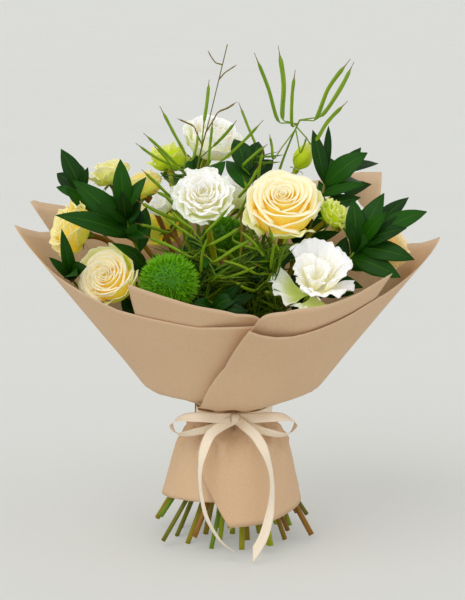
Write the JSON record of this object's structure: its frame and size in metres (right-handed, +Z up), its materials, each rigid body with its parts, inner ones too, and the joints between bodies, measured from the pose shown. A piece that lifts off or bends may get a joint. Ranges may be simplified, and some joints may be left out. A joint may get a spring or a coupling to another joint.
{
  "type": "mixed flower bouquet with its wrapper",
  "caption": "Hand-tied mixed bouquet of cream roses, white lisianthus, green dianthus, ruscus and pods in a kraft paper wrapper with a satin ribbon, standing on its cut stems.",
  "frame": {"origin": "on the floor plane, below the middle of the bounding box", "axes": "+Z up along the bouquet, -Y is the front, where the paper crosses and the bow is tied, +X is the viewer's right"},
  "size_m": [0.4188, 0.313, 0.4962],
  "materials": {
    "rose_petal": "soft petal, cream to butter yellow",
    "white_petal": "soft petal, warm white",
    "green_petal": "soft petal, pale green",
    "dianthus_green": "fine soft spikes, fresh green",
    "stem": "satin, fresh stem",
    "ruscus_leaf": "glossy leaf",
    "pod": "satin, dry pod",
    "kraft_paper": "matt kraft",
    "satin": "satin weave",
    "twine": "twisted fibre"
  },
  "bodies": {
    "root": {"rose_1": "rose_petal", "rose_2": "rose_petal", "rose_3": "rose_petal", "rose_4": "rose_petal", "rose_5": "rose_petal", "rose_6": "rose_petal", "rose_7": "rose_petal", "rose_8": "rose_petal", "lisianthus_1": "white_petal", "lisianthus_2": "white_petal", "lisianthus_3": "white_petal", "lisianthus_4": "white_petal", "lisianthus_5": "white_petal", "lisianthus_6": "white_petal", "green_bloom_1": "green_petal", "green_bloom_2": "green_petal", "lisianthus_bud": "green_petal", "dianthus_1": "dianthus_green", "dianthus_2": "dianthus_green", "rose_1_stem": "stem", "rose_2_stem": "stem", "rose_3_stem": "stem", "rose_4_stem": "stem", "rose_5_stem": "stem", "rose_6_stem": "stem", "rose_7_stem": "stem", "rose_8_stem": "stem", "lisianthus_1_stem": "stem", "lisianthus_2_stem": "stem", "lisianthus_3_stem": "stem", "lisianthus_4_stem": "stem", "lisianthus_5_stem": "stem", "lisianthus_6_stem": "stem", "green_bloom_1_stem": "stem", "green_bloom_2_stem": "stem", "lisianthus_bud_stem": "stem", "dianthus_1_stem": "stem", "dianthus_2_stem": "stem", "ruscus_left": "ruscus_leaf", "ruscus_left_back": "ruscus_leaf", "ruscus_left_low": "ruscus_leaf", "ruscus_right_top": "ruscus_leaf", "ruscus_right": "ruscus_leaf", "ruscus_front": "ruscus_leaf", "ruscus_back_right": "ruscus_leaf", "ruscus_back_left": "ruscus_leaf", "pods_right_top": "pod", "pods_left_top": "pod", "pods_left": "pod", "pods_centre": "pod", "pods_front_left": "pod", "pods_front_right": "pod", "paper_left": "kraft_paper", "paper_right": "kraft_paper", "paper_back": "kraft_paper", "satin_ribbon": "satin", "binding_twine": "twine"}
  },
  "joints": []
}
